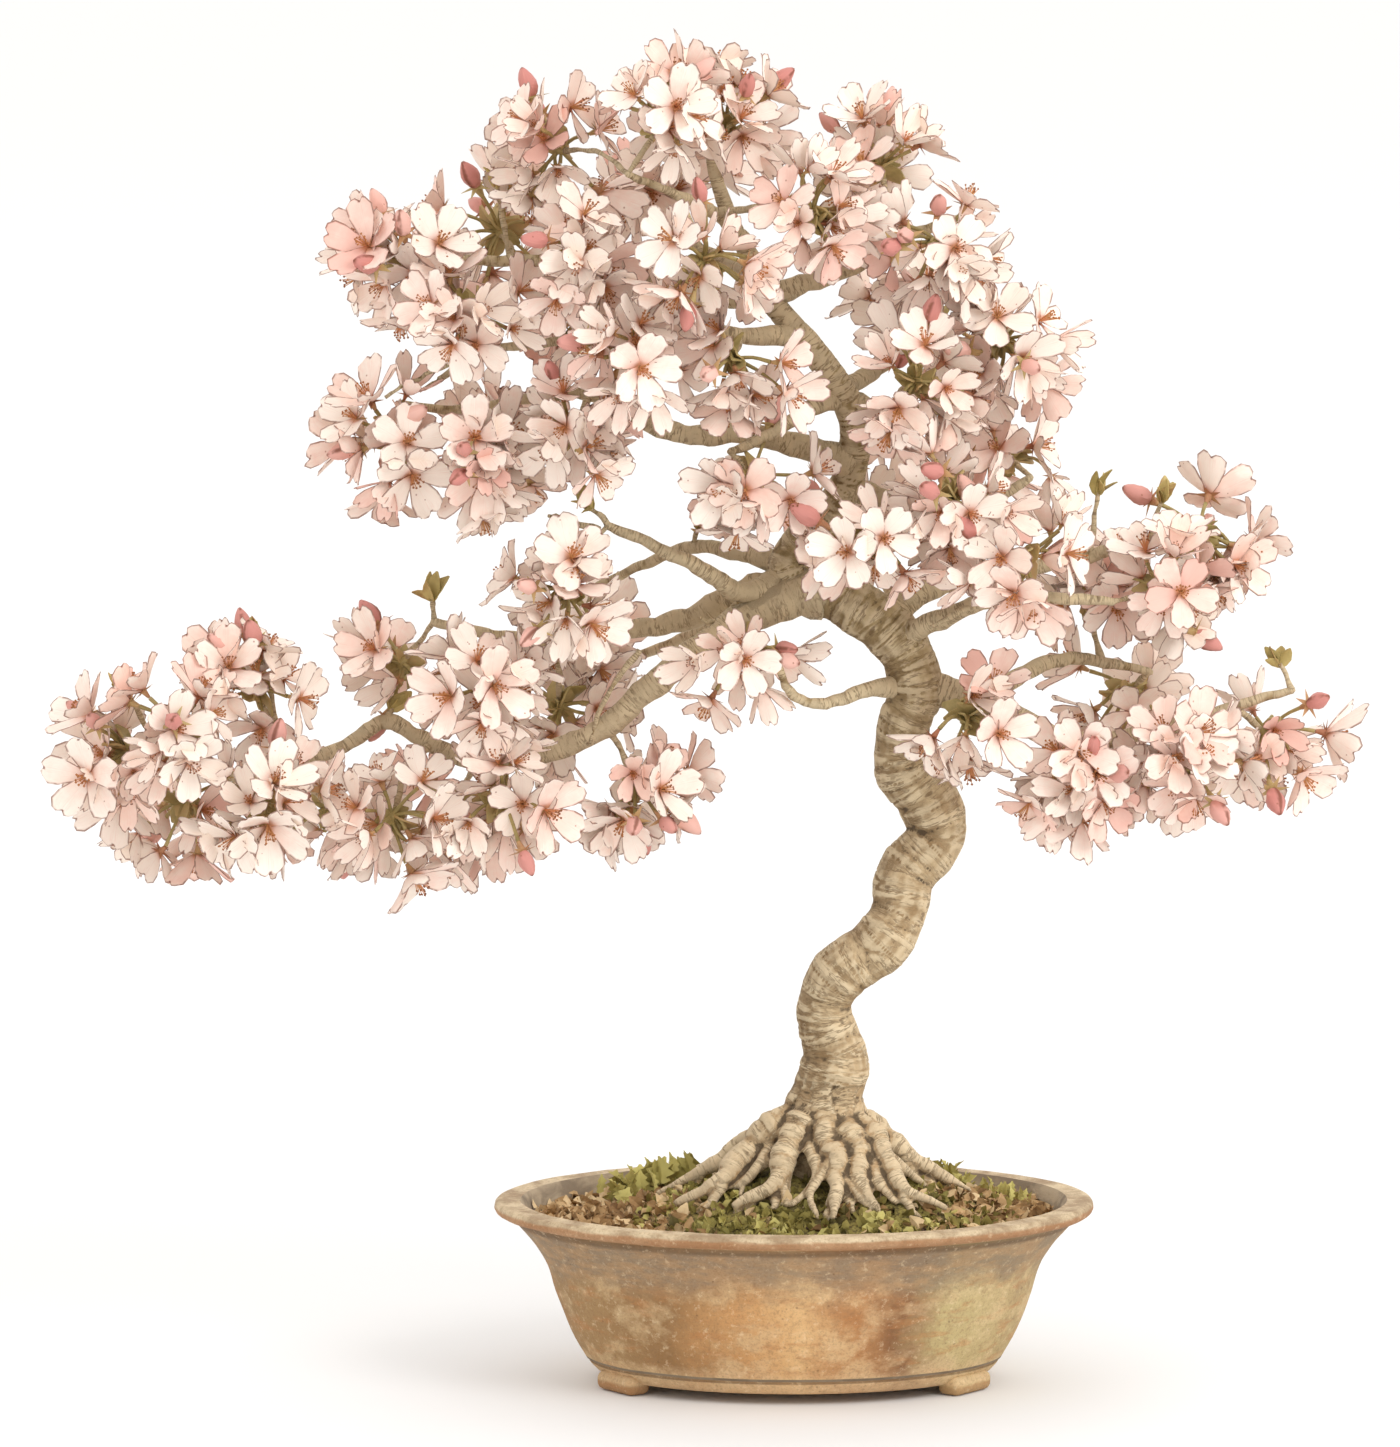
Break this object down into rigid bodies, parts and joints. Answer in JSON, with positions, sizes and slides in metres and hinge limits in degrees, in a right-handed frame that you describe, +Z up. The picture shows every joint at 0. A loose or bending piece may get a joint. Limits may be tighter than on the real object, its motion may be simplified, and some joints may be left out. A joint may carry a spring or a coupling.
{
  "type": "cherry blossom bonsai",
  "caption": "Miniature cherry tree in full pale pink blossom, winding trunk and surface roots on a moss mound, in an oval footed stoneware pot with a turned-out lip.",
  "frame": {"origin": "under the middle of the whole tree's box, on the surface that the pot's feet stand on", "axes": "+Z up, +X to the right of the pictured front, +Y to the back"},
  "size_m": [0.5282, 0.2014, 0.5519],
  "materials": {
    "stoneware": "unglazed matt stoneware, ochre and tan with grey-brown clouds, paler worn lip",
    "bark": "rough olive-brown cherry bark with raised lenticels and paler ridges",
    "petal": "soft pale pink petals, deeper pink at the base, red-brown calyx and orange-brown stamens",
    "moss": "olive green cushion moss with tan litter near the rim",
    "soil": "dark brown granular potting soil",
    "screen": "black plastic mesh"
  },
  "bodies": {
    "root": {"blossom_spray_01": "petal", "blossom_spray_02": "petal", "blossom_spray_03": "petal", "blossom_spray_04": "petal", "blossom_spray_05": "petal", "blossom_spray_06": "petal", "blossom_spray_07": "petal", "blossom_spray_08": "petal", "blossom_spray_09": "petal", "blossom_spray_10": "petal", "blossom_spray_11": "petal", "blossom_spray_12": "petal", "blossom_spray_13": "petal", "blossom_spray_14": "petal", "blossom_spray_15": "petal", "blossom_spray_16": "petal", "blossom_spray_17": "petal", "blossom_spray_18": "petal", "blossom_spray_19": "petal", "blossom_spray_20": "petal", "blossom_spray_21": "petal", "blossom_spray_22": "petal", "blossom_spray_23": "petal", "blossom_spray_24": "petal", "blossom_spray_25": "petal", "blossom_spray_26": "petal", "blossom_spray_27": "petal", "blossom_spray_28": "petal", "blossom_spray_29": "petal", "blossom_spray_30": "petal", "blossom_spray_31": "petal", "blossom_spray_32": "petal", "blossom_spray_33": "petal", "blossom_spray_34": "petal", "blossom_spray_35": "petal", "blossom_spray_36": "petal", "blossom_spray_37": "petal", "blossom_spray_38": "petal", "blossom_spray_39": "petal", "blossom_spray_40": "petal", "blossom_spray_41": "petal", "blossom_spray_42": "petal", "blossom_spray_43": "petal", "blossom_spray_44": "petal", "blossom_spray_45": "petal", "blossom_spray_46": "petal", "blossom_spray_47": "petal", "blossom_spray_48": "petal", "blossom_spray_49": "petal", "blossom_spray_50": "petal", "blossom_spray_51": "petal", "blossom_spray_52": "petal", "drain_screen_left": "screen", "drain_screen_right": "screen", "moss": "moss", "pot": "stoneware", "soil": "soil", "tree": "bark"}
  },
  "joints": []
}
